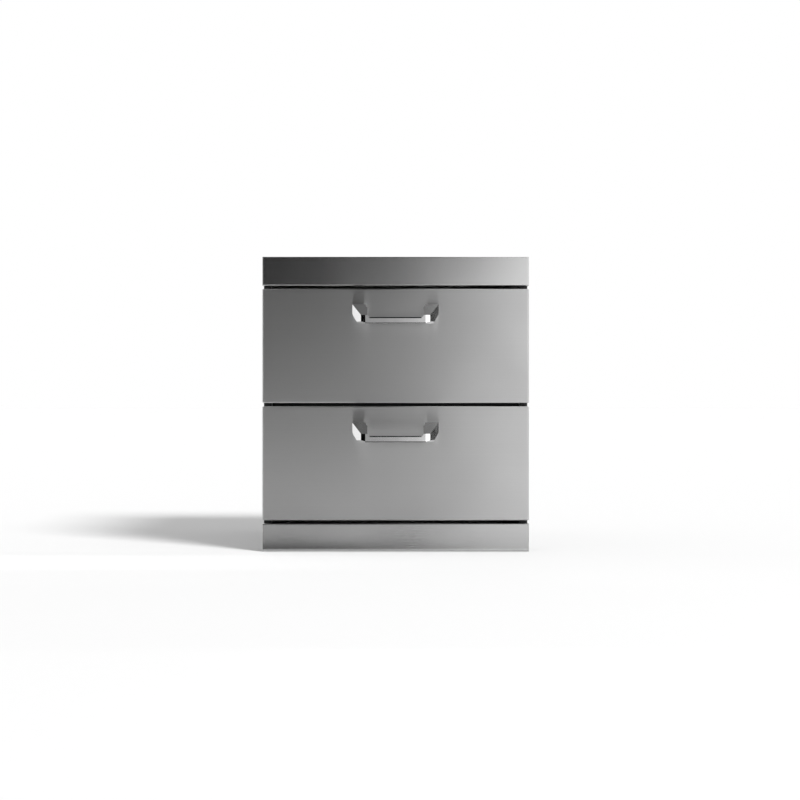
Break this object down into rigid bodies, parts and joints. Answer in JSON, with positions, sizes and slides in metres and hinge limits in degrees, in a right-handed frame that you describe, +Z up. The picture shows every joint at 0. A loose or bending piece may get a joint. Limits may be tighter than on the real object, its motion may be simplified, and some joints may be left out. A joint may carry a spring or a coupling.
{
  "type": "outdoor kitchen drawer unit",
  "caption": "Built-in stainless drawer unit for an outdoor kitchen: folded fronts with cast bracket handles, sliding drawers on ball slides, face frame and cabinet.",
  "frame": {"origin": "centre of the bounding box's footprint, at the underside of the unit", "axes": "+Z up, -Y towards the person who pulls the drawers, +X to that person's right"},
  "size_m": [0.4826, 0.5864, 0.5334],
  "materials": {
    "brushed_front": "horizontally brushed stainless",
    "polished_handle": "polished cast stainless",
    "cabinet_steel": "mill-finish stainless sheet",
    "drawer_steel": "mill-finish stainless sheet",
    "slide_steel": "zinc-plated rolled steel",
    "cage_steel": "plated cage with steel balls",
    "fastener_steel": "stainless screws and rivets",
    "bumper_rubber": "black rubber"
  },
  "bodies": {
    "cabinet": {"left_stile": "cabinet_steel", "right_stile": "cabinet_steel", "top_rail": "cabinet_steel", "bottom_rail": "cabinet_steel", "mid_rail": "cabinet_steel", "left_side_panel": "cabinet_steel", "right_side_panel": "cabinet_steel", "base_panel": "cabinet_steel", "top_panel": "cabinet_steel", "back_panel": "cabinet_steel", "top_fascia_strip": "brushed_front", "bottom_fascia_strip": "brushed_front", "cabinet_slide_rivets": "fastener_steel", "back_panel_rivets": "fastener_steel", "lower_bumpers": "bumper_rubber", "upper_bumpers": "bumper_rubber", "lower_left_cabinet_rail": "slide_steel", "lower_right_cabinet_rail": "slide_steel", "upper_left_cabinet_rail": "slide_steel", "upper_right_cabinet_rail": "slide_steel"},
    "lower_drawer": {"lower_drawer_tub": "drawer_steel", "lower_drawer_front_wall": "drawer_steel", "lower_drawer_back_wall": "drawer_steel", "lower_drawer_front": "brushed_front", "lower_drawer_liner": "drawer_steel", "lower_handle_spacers": "fastener_steel", "lower_handle_screws": "fastener_steel", "lower_front_screws_and_nuts": "fastener_steel", "lower_drawer_slide_screws": "fastener_steel", "lower_handle": "polished_handle", "lower_left_drawer_rail": "slide_steel", "lower_right_drawer_rail": "slide_steel"},
    "lower_left_middle_member": {"lower_left_middle_rail": "slide_steel"},
    "lower_left_outer_cage": {"lower_left_outer_ball_cage": "cage_steel"},
    "lower_left_inner_cage": {"lower_left_inner_ball_cage": "cage_steel"},
    "lower_right_middle_member": {"lower_right_middle_rail": "slide_steel"},
    "lower_right_outer_cage": {"lower_right_outer_ball_cage": "cage_steel"},
    "lower_right_inner_cage": {"lower_right_inner_ball_cage": "cage_steel"},
    "upper_drawer": {"upper_drawer_tub": "drawer_steel", "upper_drawer_front_wall": "drawer_steel", "upper_drawer_back_wall": "drawer_steel", "upper_drawer_front": "brushed_front", "upper_drawer_liner": "drawer_steel", "upper_handle_spacers": "fastener_steel", "upper_handle_screws": "fastener_steel", "upper_front_screws_and_nuts": "fastener_steel", "upper_drawer_slide_screws": "fastener_steel", "upper_handle": "polished_handle", "upper_left_drawer_rail": "slide_steel", "upper_right_drawer_rail": "slide_steel"},
    "upper_left_middle_member": {"upper_left_middle_rail": "slide_steel"},
    "upper_left_outer_cage": {"upper_left_outer_ball_cage": "cage_steel"},
    "upper_left_inner_cage": {"upper_left_inner_ball_cage": "cage_steel"},
    "upper_right_middle_member": {"upper_right_middle_rail": "slide_steel"},
    "upper_right_outer_cage": {"upper_right_outer_ball_cage": "cage_steel"},
    "upper_right_inner_cage": {"upper_right_inner_ball_cage": "cage_steel"}
  },
  "joints": [
    {"name": "lower_drawer_slide", "type": "slide", "parent": "cabinet", "child": "lower_drawer", "axis": [0, -1, 0], "range_m": [0, 0.48]},
    {"name": "lower_left_middle_member_slide", "type": "slide", "parent": "cabinet", "child": "lower_left_middle_member", "axis": [0, -1, 0], "range_m": [0, 0.24]},
    {"name": "lower_left_outer_cage_slide", "type": "slide", "parent": "cabinet", "child": "lower_left_outer_cage", "axis": [0, -1, 0], "range_m": [0, 0.12]},
    {"name": "lower_left_inner_cage_slide", "type": "slide", "parent": "cabinet", "child": "lower_left_inner_cage", "axis": [0, -1, 0], "range_m": [0, 0.36]},
    {"name": "lower_right_middle_member_slide", "type": "slide", "parent": "cabinet", "child": "lower_right_middle_member", "axis": [0, -1, 0], "range_m": [0, 0.24]},
    {"name": "lower_right_outer_cage_slide", "type": "slide", "parent": "cabinet", "child": "lower_right_outer_cage", "axis": [0, -1, 0], "range_m": [0, 0.12]},
    {"name": "lower_right_inner_cage_slide", "type": "slide", "parent": "cabinet", "child": "lower_right_inner_cage", "axis": [0, -1, 0], "range_m": [0, 0.36]},
    {"name": "upper_drawer_slide", "type": "slide", "parent": "cabinet", "child": "upper_drawer", "axis": [0, -1, 0], "range_m": [0, 0.48]},
    {"name": "upper_left_middle_member_slide", "type": "slide", "parent": "cabinet", "child": "upper_left_middle_member", "axis": [0, -1, 0], "range_m": [0, 0.24]},
    {"name": "upper_left_outer_cage_slide", "type": "slide", "parent": "cabinet", "child": "upper_left_outer_cage", "axis": [0, -1, 0], "range_m": [0, 0.12]},
    {"name": "upper_left_inner_cage_slide", "type": "slide", "parent": "cabinet", "child": "upper_left_inner_cage", "axis": [0, -1, 0], "range_m": [0, 0.36]},
    {"name": "upper_right_middle_member_slide", "type": "slide", "parent": "cabinet", "child": "upper_right_middle_member", "axis": [0, -1, 0], "range_m": [0, 0.24]},
    {"name": "upper_right_outer_cage_slide", "type": "slide", "parent": "cabinet", "child": "upper_right_outer_cage", "axis": [0, -1, 0], "range_m": [0, 0.12]},
    {"name": "upper_right_inner_cage_slide", "type": "slide", "parent": "cabinet", "child": "upper_right_inner_cage", "axis": [0, -1, 0], "range_m": [0, 0.36]}
  ],
  "couplings": [
    {"joint": "lower_left_middle_member_slide", "follows": "lower_drawer_slide", "ratio": 0.5},
    {"joint": "lower_left_outer_cage_slide", "follows": "lower_drawer_slide", "ratio": 0.25},
    {"joint": "lower_left_inner_cage_slide", "follows": "lower_drawer_slide", "ratio": 0.75},
    {"joint": "lower_right_middle_member_slide", "follows": "lower_drawer_slide", "ratio": 0.5},
    {"joint": "lower_right_outer_cage_slide", "follows": "lower_drawer_slide", "ratio": 0.25},
    {"joint": "lower_right_inner_cage_slide", "follows": "lower_drawer_slide", "ratio": 0.75},
    {"joint": "upper_left_middle_member_slide", "follows": "upper_drawer_slide", "ratio": 0.5},
    {"joint": "upper_left_outer_cage_slide", "follows": "upper_drawer_slide", "ratio": 0.25},
    {"joint": "upper_left_inner_cage_slide", "follows": "upper_drawer_slide", "ratio": 0.75},
    {"joint": "upper_right_middle_member_slide", "follows": "upper_drawer_slide", "ratio": 0.5},
    {"joint": "upper_right_outer_cage_slide", "follows": "upper_drawer_slide", "ratio": 0.25},
    {"joint": "upper_right_inner_cage_slide", "follows": "upper_drawer_slide", "ratio": 0.75}
  ]
}
